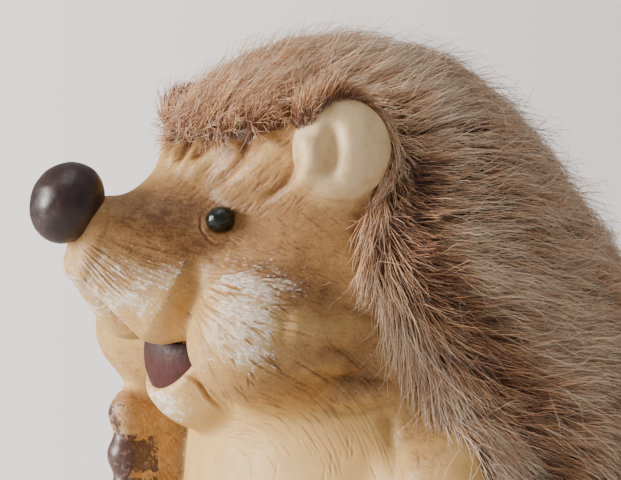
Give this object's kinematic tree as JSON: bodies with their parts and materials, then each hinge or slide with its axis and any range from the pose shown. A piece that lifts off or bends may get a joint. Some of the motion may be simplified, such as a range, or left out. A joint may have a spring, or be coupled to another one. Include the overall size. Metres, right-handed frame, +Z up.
{
  "type": "hedgehog shelf figure",
  "caption": "Cast figure of an upright sitting hedgehog with a ball nose, bead eyes, a raised paw and a glued pile pelt over crown, back and flanks.",
  "frame": {"origin": "on the floor, under the middle of the figure's width and depth, on the flat under the trunk", "axes": "+Z up, -Y the way the figure faces, +X its left side"},
  "size_m": [0.0989, 0.1223, 0.16],
  "materials": {
    "resin": "cast resin, cream paint with a brown wash and dry-brushed white",
    "nose": "dark glossy paint, lightly scuffed",
    "eye": "black glass-like bead",
    "mouth": "dark red-brown paint",
    "fur": "long-pile faux fur, brown at the root and cream at the tip"
  },
  "bodies": {
    "root": {"head": "resin", "jaw": "resin", "tongue": "mouth", "nose": "nose", "eye_left": "eye", "eye_right": "eye", "ear_left": "resin", "ear_right": "resin", "neck": "resin", "trunk": "resin", "arm_left": "resin", "arm_right": "resin", "hand_left": "resin", "hand_right": "resin", "leg_left": "resin", "leg_right": "resin", "foot_left": "resin", "foot_right": "resin", "fur_crown": "fur", "fur_back": "fur", "fur_flank_left": "fur", "fur_flank_right": "fur"}
  },
  "joints": []
}
